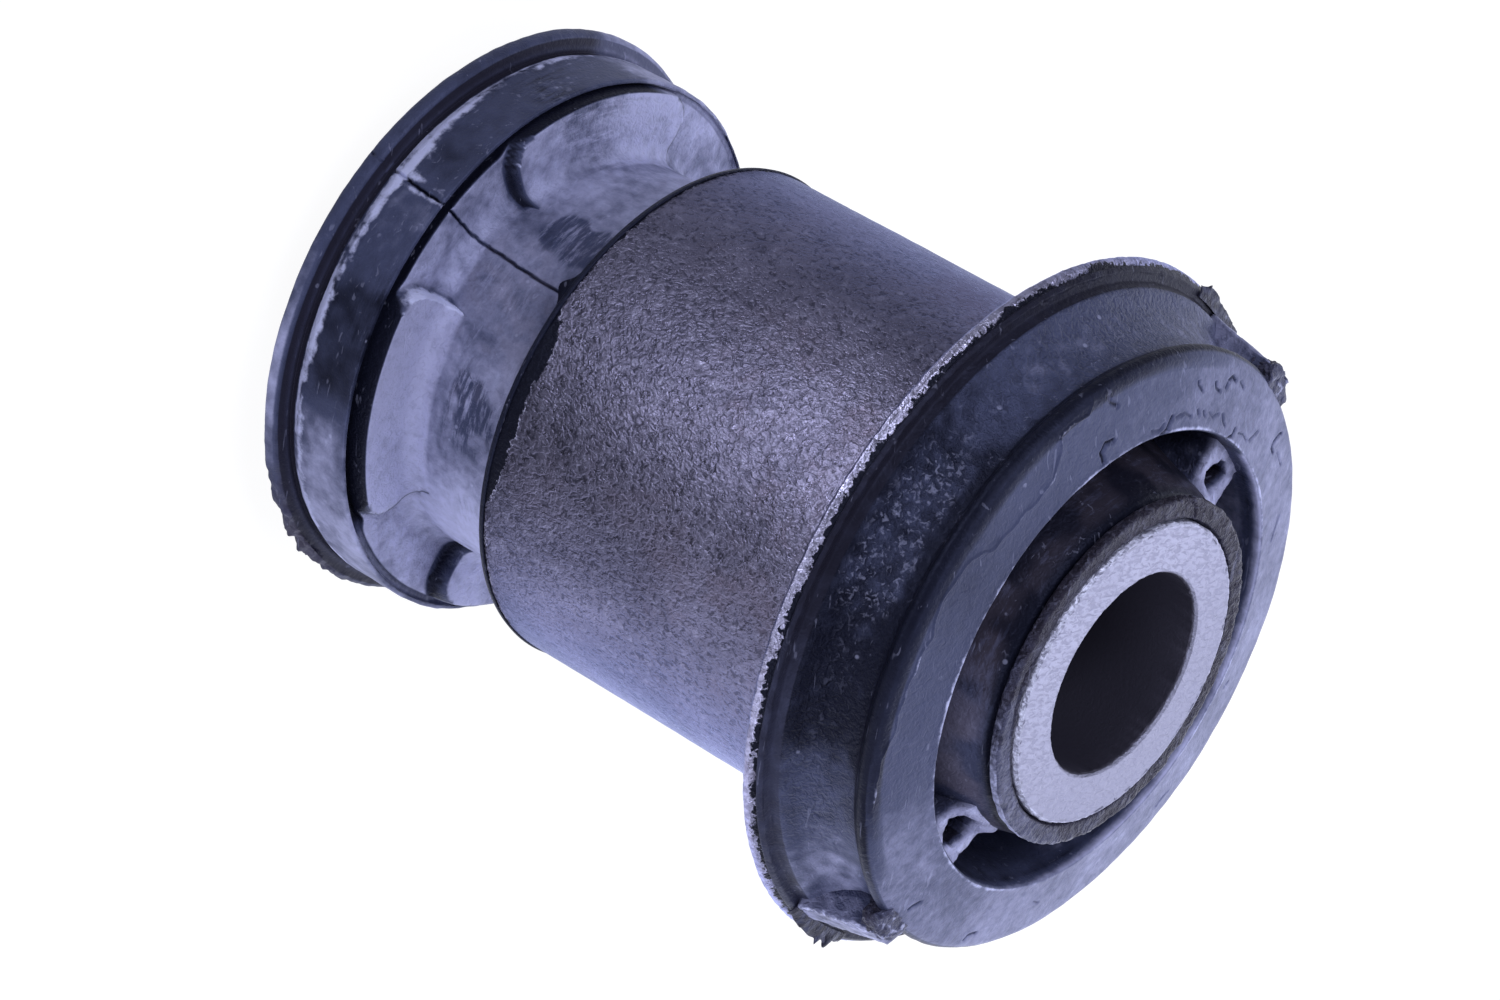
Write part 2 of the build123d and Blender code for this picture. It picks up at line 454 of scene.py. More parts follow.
moulding = dict(
    sectorSteps=60,
    cornerSteps=4,
    outline=[   # radius, height, corner rounding, longest step to the next corner
        (10.6, 59.2, 0, 0.2), (10.8, 59.8, 0, 0.24), (12.1, 59.85, 0.28, 0.3),
        (12.1, 59.15, 0.1, 0.2), (11.72, 58.9, 0.12, 0.2), (12.1, 58.65, 0.1, 0.6),
        (14.2, 51.5, 0.6, 0.6), (15.4, 51.5, 0.45, 0.8), (16, 58.1, 0.22, 0.27),
        (20.95, 56.98, 0.55, 0.26), (21.2, 56.15, 0.35, 0.3), (20.4, 55.45, 0.3, 0.35),
        (20.4, 52.43, 2.6, 0.36), (22.7, 51.36, 0.3, 0.18), (22.98, 50.64, 0.1, 0.18),
        (23.45, 50.6, 0.1, 0.15), (23.62, 50.62, 0.08, 0.12), (23.86, 50.34, 0, 0.14),
        (23.78, 50.26, 0, 0.3),
        (23.4, 50.4, 0, 3), (17.9, 50.5, 0, 3),
        (16.2, 48.8, 0, 9.5), (16.2, 20.5, 0, 1.2), (17.4, 20.5, 0, 0.3),
        (17.82, 20.94, 0, 0.14), (17.9, 20.84, 0, 0.15), (17.8, 20.48, 0.1, 0.18),
        (17.4, 20.28, 0.1, 0.6), (14.5, 20.22, 0.4, 0.42), (14.5, 9.8, 1.1, 0.3),
        (18.8, 9.8, 0, 0.12), (18.9, 9.75, 0, 0.16), (18.9, 9.1, 0, 0.4),
        (19.3, 9.1, 0, 0.45), (19.3, 9.74, 0.05, 0.2), (19.6, 9.74, 0.12, 0.36),
        (19.6, 5.5, 0.15, 0.16), (19.36, 4.9, 0.08, 0.2), (19.36, 4.55, 0.06, 0.4),
        (20.55, 4.42, 0.22, 0.25), (20.7, 4, 0.15, 0.25), (20.7, 3.45, 0.25, 0.4),
        (20.2, 3.05, 0.2, 0.9), (17.7, 2.92, 0.3, 1.2),
        (12.1, 3.7, 0.5, 0.75), (10.6, 3.7, 0, 9.5),
    ],
    padCentres=(-135, -45, 45, 135),
    padHalf=28.0,
    padCorner=1.9,
    padEdge=18.9,
    padRises=(0.95, 1.22, 1.35, 1.2),
    padRim=(-0.22, 0.12, 0.2, 0.1),   # how much further in each pad's outer wall stands
    gapRim=0.4,
    slitFloor=9.1,
    slitDepth=0.65,
    ringInner=16.0,
    ringHeight=58.1,
    ringFall=1.1 / 4.9,
    refinements=((0.55, 0.16), (0.4, 0.11)),   # how near to a crack and above what length edges are cut
    reach=24.17,
    splitHeight=35.0,
)


def segmentDistance(point, start, end):
    along = end - start
    share = max(0.0, min(1.0, (point - start).dot(along) / along.length_squared))
    return (point - start - along * share).length


def turnedOutline(part, sectors=8):
    corners = part["outline"]
    bm = bmesh.new()
    verts = [bm.verts.new((corner[0], 0, corner[1])) for corner in corners]
    for vert, following in zip(verts, verts[1:] + verts[:1]):
        bm.edges.new((vert, following))
    spots = [vert.co.copy() for vert in verts]
    spans = list(zip(spots, spots[1:] + spots[:1], [corner[3] for corner in corners]))
    for vert, corner in zip(verts, corners):
        if corner[2] > 0:
            bmesh.ops.bevel(bm, geom=[vert], offset=corner[2], offset_type="OFFSET", affect="VERTICES",
                            segments=part["cornerSteps"], profile=0.5)
    for edge in list(bm.edges):
        middle = (edge.verts[0].co + edge.verts[1].co) / 2
        step = min(spans, key=lambda span: segmentDistance(middle, span[0], span[1]))[2]
        cuts = math.ceil(edge.calc_length() / step) - 1
        if cuts > 0:
            bmesh.ops.subdivide_edges(bm, edges=[edge], cuts=cuts)
    turn = math.tau / sectors
    bmesh.ops.spin(bm, geom=bm.verts[:] + bm.edges[:], axis=(0, 0, 1), cent=(0, 0, 0), angle=turn,
                   steps=part["sectorSteps"], use_merge=False, use_duplicate=False)
    copies = 1
    while copies < sectors:
        made = bmesh.ops.duplicate(bm, geom=bm.verts[:] + bm.edges[:] + bm.faces[:])
        added = [item for item in made["geom"] if isinstance(item, bmesh.types.BMVert)]
        bmesh.ops.rotate(bm, verts=added, cent=(0, 0, 0), matrix=Matrix.Rotation(turn * copies, 3, "Z"))
        copies *= 2
    bmesh.ops.remove_doubles(bm, verts=bm.verts, dist=0.002)
    return bm


def padInside(radius, angle):
    offsets = [abs(apart(angle, centre)) for centre in moulding["padCentres"]]
    which = offsets.index(min(offsets))
    fromEnd = radius * math.radians(moulding["padHalf"] - offsets[which])
    fromRim = moulding["padEdge"] - radius
    corner = moulding["padCorner"]
    inside = fromEnd
    if fromEnd < corner and fromRim < corner:
        inside = corner - math.hypot(corner - fromEnd, corner - fromRim)
    share = ease(-0.5, 1.0, fromEnd)
    inset = moulding["padRim"][which] * share + moulding["gapRim"] * (1 - share)
    return inside, moulding["padRises"][which], inset


# Cracks and nicks: each is a path of places (radius, angle, height), a width and a depth, in mm and degrees

def ringTop(radius):
    return moulding["ringHeight"] - (radius - moulding["ringInner"]) * moulding["ringFall"]


def onRing(*spots):
    return [(radius, angle, ringTop(radius)) for radius, angle in spots]


def onPad(*spots):
    return [(radius, angle, 11.15) for radius, angle in spots]


partingPath = [
    (20.7, -90.9, 3.2), (20.5, -90.8, 4.4), (19.3, -91.1, 4.8), (19.6, -91, 5.6),
    (19.6, -90.4, 7.1), (19.6, -90.1, 8.4), (19.5, -89.9, 10), (18.75, -90.3, 9.8), (17.1, -90.6, 9.8),
    (16.1, -90.9, 9.8), (15.5, -91, 9.8), (15.1, -91.1, 9.93),
    (14.82, -91.2, 10.13), (14.6, -91.2, 10.5), (14.5, -91, 11.2), (14.5, -90.6, 12.8),
    (14.5, -90.2, 14.4), (14.5, -89.8, 16.2), (14.5, -89.8, 17.7), (14.5, -89.6, 19.8),
]
flowPath = onRing(
    (21.1, -118), (20.2, -115), (20.2, -108), (18.4, -103), (18, -96),
    (18.1, -89), (18.8, -83), (19.6, -80), (20, -76), (19.9, -71),
    (19.7, -65), (19.8, -59), (19.9, -53), (20.1, -47), (20.4, -40),
    (20.6, -36), (20.7, -28),
)
ringMarks = [   # width, depth, then the radii and angles along the mark
    (0.13, 0.15, (19.11, -147.9), (18.8, -148.3), (18.5, -150.1)),
    (0.14, 0.16, (19.08, -154.5), (18.78, -155), (18.63, -156.8)),
    (0.14, 0.18, (18.95, -158.8), (19.41, -159.2), (19.75, -160.4), (19.55, -161.8)),
    (0.13, 0.12, (19.67, -163.7), (19.38, -165.7)),
    (0.12, 0.12, (16.54, -132.9), (16.47, -135.8), (16.75, -137.6)),
    (0.16, 0.2, (16.06, -136.3), (16.3, -138.5), (16.8, -139.4), (17.08, -140.2)),
    (0.13, 0.12, (16.98, -141.5), (17.16, -144.6), (16.9, -147.3)),
    (0.14, 0.12, (17.3, -149.5), (16.94, -150.3)),
    (0.14, 0.12, (17.28, -152), (16.95, -152.8)),
    (0.12, 0.1, (17.25, -154.4), (17, -156.3), (17.31, -158.6)),
    (0.12, 0.12, (17.31, -160.3), (16.9, -161.5), (16.7, -162.9)),
    (0.15, 0.2, (16.08, -165.4), (16.45, -167.6), (16.98, -167.9)),
    (0.12, 0.12, (16.85, -170.2), (17.03, -172.2), (16.9, -174.8)),
    (0.12, 0.12, (17.1, -176.2), (17.63, -177.4), (18.1, -178.3)),
    (0.12, 0.2, (18.56, 170.8), (18.55, 172.5), (18.95, 172.8), (19.55, 172.2), (20.06, 171.3)),
    (0.11, 0.1, (18.97, 169.1), (19.14, 164.9)),
    (0.11, 0.1, (17.74, 147.6), (18.17, 150.3), (18.79, 152.1)),
    (0.15, 0.18, (19.89, 1.3), (19.6, 1.4), (19.03, 2.3)),
    (0.15, 0.18, (20.23, 25.9), (19.85, 26.2), (19.67, 28.5)),
    (0.13, 0.1, (18.1, 44), (18.35, 46)),
    (0.15, 0.2, (16.46, -116.6), (17.15, -116.2), (17.5, -118), (17.34, -120.8)),
    (0.18, 0.16, (20.28, -120.4), (19.79, -121.2), (19.36, -122.7)),
    (0.14, 0.14, (19.1, 84), (18.9, 86), (19.15, 88)),
    (0.13, 0.12, (17.4, 112), (17.7, 113.5)),
]
padMarks = [
    (0.2, 0.22, (17.1, -130.6), (16.6, -132.4), (16.2, -134.8)),
    (0.18, 0.18, (16.35, -145), (16.15, -146.6), (16.5, -147.6)),
    (0.14, 0.16, (16.3, -115.2), (16.62, -116.2), (17, -115.6)),
    (0.13, 0.14, (18.2, -111), (18.42, -112), (18.2, -113)),
    (0.16, 0.14, (17.4, -38), (17.1, -40)),
    (0.18, 0.18, (16.8, 52), (16.4, 54), (16.5, 56)),
    (0.16, 0.15, (17.6, 128), (17.3, 130.5)),
]
farPartingPath = [(radius, 180 + angle, height) for radius, angle, height in partingPath]
cracks = [   # path, width, depth, where a depth below nothing is a ridge
    (flowPath, 0.12, -0.13),
    (partingPath, 0.13, 0.3),
    (farPartingPath, 0.12, 0.26),
]
cracks += [(onRing(*path), width, depth) for width, depth, *path in ringMarks]
cracks += [(onPad(*path), width, depth) for width, depth, *path in padMarks]
cracks += [
    ([(11, -66, 59.82), (11.25, -60, 59.82), (11.15, -50, 59.82), (11.05, -38, 59.82)], 0.13, 0.22),
    ([(10.95, -156, 59.82), (11.6, -154, 59.82), (12, -150, 59.85)], 0.12, 0.18),
    ([(14.5, -64.3, 14.4), (14.5, -60.6, 14.2), (14.5, -58.6, 15), (14.5, -58.4, 16)], 0.1, 0.08),
]


def crackTree(cracks, spacing=0.07):
    spots = []
    for path, width, depth in cracks:
        places = [around(*spot) for spot in path]
        for start, end in zip(places, places[1:]):
            count = max(1, math.ceil((end - start).length / spacing))
            for step in range(count):
                spot = start.lerp(end, step / count)
                waver, grain = (0.06, 0.5) if depth > 0 else (0.5, 1.4)
                spot += Vector((rough(spot, grain, 3), rough(spot, grain, 7), 0)) * waver
                spots.append((spot, width, depth))
    tree = kdtree.KDTree(len(spots))
    for index, (spot, width, depth) in enumerate(spots):
        tree.insert(spot, index)
    tree.balance()
    return tree, spots


def refineNear(bm, tree, reach, shortest):
    near = []
    for edge in bm.edges:
        middle = (edge.verts[0].co + edge.verts[1].co) / 2
        found = tree.find(middle)
        if found[2] < reach and edge.calc_length() > shortest:
            near.append(edge)
    bmesh.ops.subdivide_edges(bm, edges=near, cuts=1, use_grid_fill=True)


# How light each zone of the rubber is by angle, from black film to pale bloom; partly the rubber's own film
# and dust, partly painted shade and painted sheen that follow how the light falls on each side

toneRound = dict(
    collar=[(-180, 0.64), (-150, 0.46), (-115, 0.49), (-90, 0.1), (-72, 0.14), (-58, 0), (-45, 0),
            (-30, 0.36), (-8, 0.68), (25, 0.56), (90, 0.42), (140, 0.46)],
    ring=[(-180, 0.66), (-140, 0.53), (-100, 0.43), (-76, 0.29), (-60, 0.38), (-35, 0.47),
          (-18, 0.6), (10, 0.6), (24, 0.66), (60, 0.68), (130, 0.66)],
    neck=[(-180, 0.74), (-120, 0.78), (-104, 0.7), (-95, 0.72), (-84, 0.64), (-72, 0.66), (-62, 0.78),
          (-40, 0.7), (-10, 0.86), (60, 0.76)],
    pads=[(-180, 0.84), (-145, 0.98), (-129, 0.72), (-116, 0.78), (-98, 0.87), (-82, 0.88), (-68, 0.93),
          (-45, 0.95), (45, 0.85), (135, 0.88)],
    band=[(-180, 0.72), (-153, 0.76), (-143, 0.5), (-125, 0.36), (-110, 0.38), (-98, 0.34),
          (-84, 0.54), (-74, 0.44), (-64, 0.18), (-52, 0.22), (-38, 0.6), (-22, 0.6), (-12, 0.78),
          (15, 0.55), (60, 0.34)],
)


def toneAt(zone, angle):
    knots = toneRound[zone]
    wrapped = knots + [(knots[0][0] + 360, knots[0][1])]
    for start, end in zip(wrapped, wrapped[1:]):
        if start[0] <= angle <= end[0]:
            return start[1] + (end[1] - start[1]) * ease(start[0], end[0], angle)
    return knots[0][1]


def slitShut(angle):
    return 0.8 * ease(-17, -13, angle) * ease(160, 150, angle) + farDust(angle, 150)


def farDust(angle, start=140):
    return ease(-148, -154, angle) + ease(start, 160, angle)


class SkinPoint:   # a point of the moulding: its waver, then the moves and masks its zone gives it
    def __init__(self, place):
        self.place = place
        self.radius, self.angle, self.height = polar(place)
        self.broad = rough(place, 4.0, 1)
        self.small = rough(place, 0.9, 5)
        self.finest = rough(place, 0.35, 9)
        self.out, self.up, self.cut = 0.0, 0.0, 0.0
        self.tone, self.warm, self.grainDepth, self.worn, self.scuff = 0.4, 0.0, 0.08, 0.0, 0.0

    def facing(self, angle, width):
        return hump(apart(self.angle, angle), 0, width)

    def turn(self, start, end):
        return ease(start, end, self.angle)

    def rise(self, low, high):
        return ease(low, high, self.height)

    # Painted shade: the rubber is darkened where a crack is cut in
    def darkenCut(self, amount):
        self.tone -= amount * ease(0.05, 0.2, self.cut)


def markCracks(at, tree, marks, reach=0.6):
    _, index, away = tree.find(at.place)
    if away >= reach:
        return
    _, width, depth = marks[index]
    at.cut = depth * hump(away, 0, width * 0.8)
    at.cut -= 0.02 * hump(away, width * 2.0, width * 0.7)
    # Painted highlight: a ridge, and the lips beside a crack, are made lighter
    if depth < 0:
        at.worn = (0.22 + 0.4 * rough(at.place, 1.6, 63)) * hump(away, 0, width)
    else:
        at.worn = 0.1 * hump(away, width * 1.8, width * 0.6)


def shapeHidden(at):
    at.tone, at.grainDepth, at.worn = 0.1, 0.1, 0.0


def shapeAnnulus(at):
    low = at.facing(-10, 45)
    at.tone = 0.12 if at.radius < 10.95 else 0.02 + 0.52 * low + 0.24 * at.small
    at.warm, at.grainDepth = 0.28, 0.65
    at.up = 0.07 * at.finest + 0.05 * at.small - 0.04 - at.cut
    if at.height >= 59.7:
        at.up -= 0.02
    if at.radius > 11.95:
        at.out = 0.09 * at.small + 0.05 * at.finest
        at.worn = max(at.worn, 0.5 * ease(12.0, 12.1, at.radius) * ease(-60, 10, apart(at.angle, -20)))


def shapeFlare(at):
    groove = hump(at.height, 58.85, 0.48)
    bloom = rough(at.place, 2.4, 67) + 0.2 * at.small + 0.1 * at.rise(58.0, 55.0)
    bloom = ease(-0.25, 0.25, bloom)
    low = at.facing(-25, 32)
    # Painted shade: near black in the groove round the hub
    at.tone = (0.08 + 0.15 * bloom + 0.44 * low) * (1 - 0.95 * groove)
    at.tone -= 0.06 * at.rise(53.5, 51.8)
    at.warm = (0.05 + 0.25 * bloom + 0.55 * low * bloom) * (1 - groove) * at.rise(58.6, 57.8)
    at.scuff = 0.75 * (1 - 0.6 * low)
    at.out = 0.1 * at.broad + 0.05 * at.small - 0.12 * groove - at.cut


def shapeRecessFloor(at):
    at.tone = 0.3 + 0.3 * at.small + 0.2 * at.facing(20, 40)
    at.up = 0.12 * at.broad + 0.06 * at.small


def shapeRecessWall(at):
    lit = at.turn(5, 80) + at.turn(-174, -178)
    crease = hump(at.height, 57.1, 0.16)
    at.tone = 0.16 + 0.25 * at.rise(57.2, 58.0) + 0.15 * at.small + 0.46 * lit
    # Painted shade along the crease on the lit side
    at.tone -= 0.35 * lit * crease
    at.out = -0.06 * at.broad + 0.05 * crease


def shapeRingFace(at):
    innerLip = hump(at.radius - moulding["ringInner"], 0.16, 0.16)
    filmed = at.turn(-165, -130) * at.turn(-5, -40) * ease(20.02, 20.22, at.radius)
    at.tone = toneAt("ring", at.angle) + 0.05 * at.broad + 0.03 * at.small
    at.tone -= (at.tone - 0.13) * filmed
    at.darkenCut(0.5)
    at.up = 0.05 * at.broad + 0.025 * at.small + 0.05 * innerLip - at.cut
    at.worn = max(at.worn, (0.34 + 0.4 * at.broad) * innerLip)


def shapeRingSide(at):
    at.tone = 0.02 + 0.9 * max(0.0, toneAt("collar", at.angle) - 0.46) + 0.05 * at.small
    at.out = 0.05 * at.broad + 0.03 * at.small


def shapeCollar(at):
    smooth = at.turn(-26, -12) * at.turn(12, -4)
    patch = at.turn(-98, -88) * at.turn(-60, -70) * at.rise(55.0, 54.2)
    patch *= at.rise(51.3, 51.9)
    at.grainDepth = (0.25 + 0.35 * hump(at.height, 52.9, 1.7) + 0.55 * patch) * (1 - 0.75 * smooth)
    at.tone = toneAt("collar", at.angle) * (0.75 + 0.25 * hump(at.height, 53.0, 1.6)) + 0.16 * at.small
    at.tone -= 0.1 * at.rise(54.4, 55.4)
    at.tone += 0.1 * patch
    at.up = 0.07 * at.broad * (1 - at.rise(52.0, 54.8)) + 0.03 * at.finest * at.grainDepth
    at.out = 0.06 * at.broad


def shapeRim(at):
    at.tone = 0.05 + 0.15 * at.turn(-70, -30) * at.turn(30, 0) + 0.08 * at.small
    at.warm = 0.08
    at.up = 0.05 * at.small + 0.04 * at.finest
    at.up = at.up * (1 - ease(23.75, 24.15, at.radius)) * ease(23.2, 23.4, at.radius)


def shapeRearFilm(at):
    ragged = 0.75 * rough(at.place, 2.8, 31) + 0.45 * at.small + 0.35 * at.finest
    ragged += 0.9 * at.facing(-62, 9) - 0.15
    wrinkle = hump(rough(around(18, at.angle, at.height * 0.3), 0.9, 35), 0.0, 0.12)
    creased = 0.6 * wrinkle * ease(0.05, 0.3, rough(at.place, 1.8, 37)) * at.rise(20.5, 20.7)
    tuft = at.facing(-88.5, 2.4) + at.facing(91, 2.4)
    at.tone = 0.05 + 0.35 * max(0.0, at.small) - 0.3 * tuft
    # Painted highlight: the film's ragged top edge and its wrinkle crests are made pale
    at.worn = max(0.7 * at.rise(20.7, 20.9) * ease(0.0, 0.35, at.small), creased)
    at.worn *= 1 - min(1.0, tuft * 1.3)
    at.out = (0.13 * ragged + 0.06 * wrinkle) * ease(17.4, 17.8, at.radius)
    at.out += 0.6 * tuft * ease(17.3, 17.8, at.radius)
    at.up = at.rise(20.35, 20.85) * max(-0.42, 1.25 * ragged - 0.2)
    at.up += tuft * (0.9 * at.rise(20.4, 20.8) - 0.6 * at.rise(20.6, 20.3))


def shapeNeck(at):
    inside, rise, _ = padInside(15.2, at.angle)
    patch = max(
        at.facing(-105, 8) * hump(at.height, 16.0, 2.4),
        at.facing(-50, 9) * hump(at.height, 15.4, 2.4),
        at.facing(70, 20) * hump(at.height, 14.4, 2.0),
    )
    at.tone = toneAt("neck", at.angle) + 0.16 * at.broad + 0.08 * at.small
    # Painted shade: darker just under the sleeve's rear end
    at.tone -= 0.35 * at.rise(19.5, 20.1)
    at.darkenCut(0.6)
    at.scuff = patch * (0.85 + 1.5 * rough(at.place, 1.5, 87)) + 0.22 + 0.3 * at.broad
    at.warm = 0.3 * at.facing(-75, 30) * ease(-0.2, 0.4, at.broad + at.small)
    at.up = rise * ease(-0.25, 0.2, inside) * at.rise(14.6, 11.2)
    at.out = 0.05 * at.broad + 0.02 * at.small - at.cut


def shapePads(at):
    inside, rise, inset = padInside(at.radius, at.angle)
    share = ease(-0.25, 0.12, inside)
    at.out = -inset * ease(16.4, 18.9, at.radius) * (1 - slitShut(at.angle) * (1 - share))
    at.grainDepth = 0.2
    at.scuff = 0.15 + 0.35 * at.facing(-135, 20)
    if at.height < 9.76:   # the slit's wall, which rises with the pad
        deep = at.height - moulding["slitFloor"]
        full = moulding["slitDepth"]
        # Painted shade: the slit's wall is near black where the slit is open
        at.tone, at.worn = 0.02 + 0.7 * slitShut(at.angle), 0.0
        at.up = (rise * share + 0.06 * at.broad) * deep / full
        at.up += 0.62 * slitShut(at.angle) * (1 - deep / full) * (1 - share)
        return
    crest = hump(inside, 0.17, 0.12) * ease(-0.2, 0.3, at.small + 0.1)
    curled = at.facing(-73, 4)
    # Painted shade: darker round the pad's edge and down its outer wall. Painted highlight: lighter along the
    # crest and the curled lip
    at.tone = toneAt("pads", at.angle) + 0.16 * at.broad + 0.12 * at.small - 0.12 * (1 - share)
    at.tone -= 0.95 * hump(inside, -0.14, 0.26) * (1 - 0.7 * curled)
    at.darkenCut(0.6)
    at.warm = 0.22 * at.facing(-58, 22) * share
    at.worn = max(at.worn, 0.55 * crest, 0.9 * hump(inside, 0.05, 0.22) * curled)
    at.up = rise * share + (0.06 * at.broad + 0.03 * at.small) - at.cut + 0.06 * crest
    at.up += 0.12 * hump(inside, 0.05, 0.2) * curled


def shapeSlit(at):
    # Painted shade: the slit is near black where it is open
    at.tone = 0.02 + 0.7 * slitShut(at.angle)
    at.up = 0.64 * slitShut(at.angle)


def shapeBand(at):
    lower = 0.35 * at.facing(-97, 7) + 0.1 * at.facing(-86, 5)
    dust = ease(6.4 + lower, 5.45 + lower, at.height + 0.2 * at.small) * at.rise(4.95, 5.05)
    streaks = 0.85 * at.facing(-98, 6) * at.rise(8.0, 5.8)
    streaks += 0.22 * at.facing(-128, 20) * at.rise(5.6, 8.0)
    streaks += 0.55 * at.facing(-91.8, 0.9) + 0.5 * at.facing(-89.4, 0.7)
    drawn = rough(around(19, at.angle * 0.4, at.height * 2), 1.2, 59)
    at.tone = toneAt("band", at.angle) + 0.18 * at.broad + 0.1 * at.small
    at.darkenCut(0.5)
    at.worn = max(0.52 * dust * (1.1 + 0.9 * drawn), 0.62 * streaks * (1 + at.broad))
    at.scuff = (0.35 + 0.4 * at.broad) * at.turn(-35, -60)
    at.out = 0.05 * at.broad + 0.04 * at.small - at.cut
    at.up = 0.05 * at.small * at.rise(9.3, 9.7)


def shapeLipGroove(at):
    # Painted shade: the groove is near black
    at.tone = 0.06 + 0.28 * hump(at.radius, 19.62, 0.12) + 0.4 * farDust(at.angle)
    at.grainDepth, at.warm = 0.0, 0.12
    at.up = 0.12 * hump(at.radius, 19.62, 0.15)


def shapeLip(at):
    torn = at.facing(-3, 20)
    # Painted sheen: lighter on the lip's outer side round angle -46
    at.tone = 0.34 + 0.46 * at.facing(-46, 24) * at.rise(4.4, 4.1) + 0.1 * at.broad + 0.1 * at.small
    at.tone += 0.35 * farDust(at.angle)
    at.tone -= 0.15 * torn
    at.warm = 0.5 * torn
    at.out = 0.05 * at.broad + 0.04 * at.small - at.cut
    at.out += 0.16 * torn * rough(around(at.radius, at.angle * 3 + at.height * 9, 0), 2.0, 57)
    at.out += torn * (0.45 * rough(at.place, 1.1, 51) + 0.25 * at.finest) * ease(20.0, 20.6, at.radius)
    at.up = torn * 0.4 * at.small * at.rise(3.9, 4.3)


def shapeRearFace(at):
    at.tone = 0.42 + 0.3 * at.broad + 0.15 * at.small
    at.up = 0.08 * at.broad + 0.03 * at.small + at.cut


zones = [   # two radii, two heights and what shapes the points between: a point takes the first that fits
    (0, 10.65, 0, 60, shapeHidden),
    (16.1, 17.95, 20.4, 50.6, shapeHidden),
    (0, 12.3, 59.1, 60, shapeAnnulus),
    (0, 14.35, 51.6, 60, shapeFlare),
    (0, 15.5, 51.3, 60, shapeRecessFloor),
    (0, 16.08, 50.6, 60, shapeRecessWall),
    (0, 20.95, 56.2, 60, shapeRingFace),
    (20.2, 30, 55.3, 60, shapeRingSide),
    (0, 22.95, 51.2, 60, shapeCollar),
    (0, 30, 49.8, 60, shapeRim),
    (17.3, 30, 20.1, 60, shapeRearFilm),
    (0, 14.8, 11.0, 60, shapeNeck),
    (0, 18.95, 9.0, 60, shapePads),
    (0, 19.32, 8.8, 9.5, shapeSlit),
    (18.9, 30, 4.9, 60, shapeBand),
    (0, 20.36, 4.25, 60, shapeLipGroove),
    (19.1, 30, 0, 60, shapeLip),
    (0, 30, 0, 60, shapeRearFace),
]


def maskLayers(bm):
    return [bm.verts.layers.float.new(name) for name in rubberMasks]


def paint(vert, layers, values):
    for layer, value in zip(layers, values):
        vert[layer] = min(1.0, max(0.0, value))


def buildMoulding(part):
    bm = turnedOutline(part)
    tree, marks = crackTree(cracks)
    for reach, shortest in part["refinements"]:
        refineNear(bm, tree, reach, shortest)
    layers = maskLayers(bm)
    for vert in bm.verts:
        at = SkinPoint(vert.co.copy())
        markCracks(at, tree, marks)
        for inner, outer, low, high, shape in zones:
            if inner < at.radius < outer and low < at.height < high:
                shape(at)
                break
        vert.co = around(min(at.radius + at.out, part["reach"]), at.angle, at.height + at.up)
        paint(vert, layers, (at.tone, at.warm, at.grainDepth, at.worn, at.scuff))
    return bm


# The moulding becomes two pieces, closed where they meet between the sleeves and out of sight

def halfOf(bm, height, isFront):
    half = bm.copy()
    made = bmesh.ops.bisect_plane(half, geom=half.verts[:] + half.edges[:] + half.faces[:],
                                  plane_co=(0, 0, height), plane_no=(0, 0, 1),
                                  clear_inner=isFront, clear_outer=not isFront)
    rims = [item for item in made["geom_cut"] if isinstance(item, bmesh.types.BMEdge)]
    bmesh.ops.bridge_loops(half, edges=rims)
    return half


wholeMoulding = buildMoulding(moulding)
for halfName, isFront in (("rubberFront", True), ("rubberRear", False)):
    half = halfOf(wholeMoulding, moulding["splitHeight"], isFront)
    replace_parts(finishPiece(halfName, half, rubberSkin), "rubber_body")
wholeMoulding.free()


# Steel sleeves

outerTube = dict(
    sectorSteps=60,
    cornerSteps=3,
    outline=[
        (16.2, 20.5, 0, 9.5), (16.2, 48.8, 0, 1), (17.9, 50.5, 0, 3),
        (23.5, 50.5, 0, 0.3), (24.16, 49.92, 0.14, 0.13), (24.2, 49.55, 0.05, 0.15),
        (23.95, 49.3, 0, 1), (18.4, 49.3, 0.2, 0.3), (17.8, 48.7, 0.2, 0.6),
        (17.8, 20.85, 0.1, 0.2), (17.45, 20.5, 0, 1),
    ],
)
innerTube = dict(
    sectorSteps=45,
    cornerSteps=3,
    outline=[
        (7, 0.35, 0, 0.2), (7.35, 0, 0, 0.6), (10.35, 0, 0, 0.2),
        (10.6, 0.25, 0, 4), (10.6, 59.75, 0.08, 0.12), (10.38, 60, 0.08, 0.24),
        (7.28, 60, 0.08, 0.12), (7, 59.72, 0.08, 1.6),
    ],
)


def buildOuterTube(part):
    bm = turnedOutline(part)
    reachLayer = bm.verts.layers.float.new("filmReach")
    for vert in bm.verts:
        radius, angle, height = polar(vert.co)
        reach = 0.12 + 0.35 * rough(around(18, angle, 0), 3.0, 77)
        reach += 1.1 * ease(-90, -72, angle) * ease(-36, -50, angle) + 0.5 * hump(apart(angle, 120), 0, 20)
        vert[reachLayer] = max(-2.0, reach + 20.85 - height)
        small = rough(vert.co, 0.8, 71)
        finest = rough(vert.co, 0.3, 73)
        if radius > 23.8:   # the rim is a little chipped
            radius -= 0.05 + 0.05 * max(0.0, small) + 0.05 * max(0.0, finest)
            height += 0.04 * small + 0.03 * finest
        elif radius > 17.5 and height < 49:
            radius += 0.035 * rough(vert.co, 7.0, 75) + 0.018 * small - 0.03
        elif radius > 18 and height < 49.4:
            height += 0.05 * small
        vert.co = around(radius, angle, height)
    return bm


